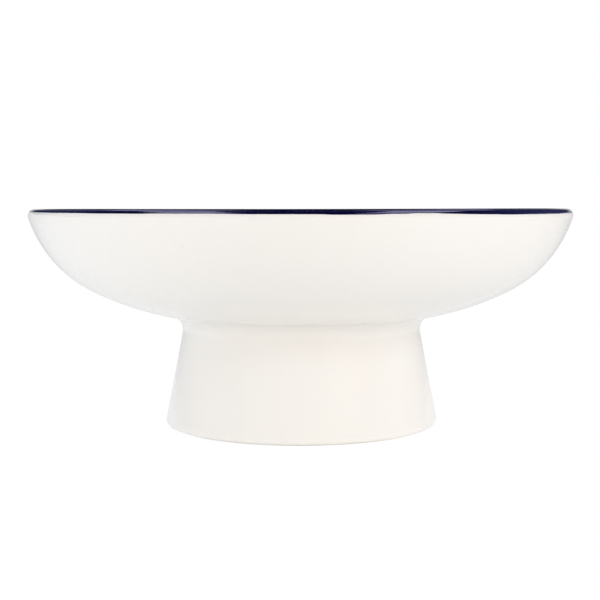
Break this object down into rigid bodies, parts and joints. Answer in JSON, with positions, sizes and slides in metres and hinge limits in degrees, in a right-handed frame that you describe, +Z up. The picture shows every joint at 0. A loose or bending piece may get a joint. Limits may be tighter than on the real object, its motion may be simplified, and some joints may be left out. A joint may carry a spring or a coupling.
{
  "type": "footed compote bowl",
  "caption": "Shallow round serving bowl with a half round lip and a coloured band over it, luted to a hollow tapered pedestal that is open underneath.",
  "frame": {"origin": "middle of the dry ring that the bowl stands on, on the table", "axes": "+Z up along the axis that every piece is turned about, X and Y level and alike"},
  "size_m": [0.254, 0.254, 0.1016],
  "materials": {
    "clay": "unglazed fired white stoneware, matt and slightly gritty",
    "slip": "fired slip, hidden under the glaze",
    "white_glaze": "glossy cream white glaze",
    "navy_glaze": "glossy dark navy glaze, brushed round the lip"
  },
  "bodies": {
    "root": {"bowl_body": "clay", "pedestal_foot": "clay", "luting_slip": "slip", "inside_glaze": "white_glaze", "outside_glaze": "white_glaze", "underside_glaze": "white_glaze", "rim_band": "navy_glaze"}
  },
  "joints": []
}
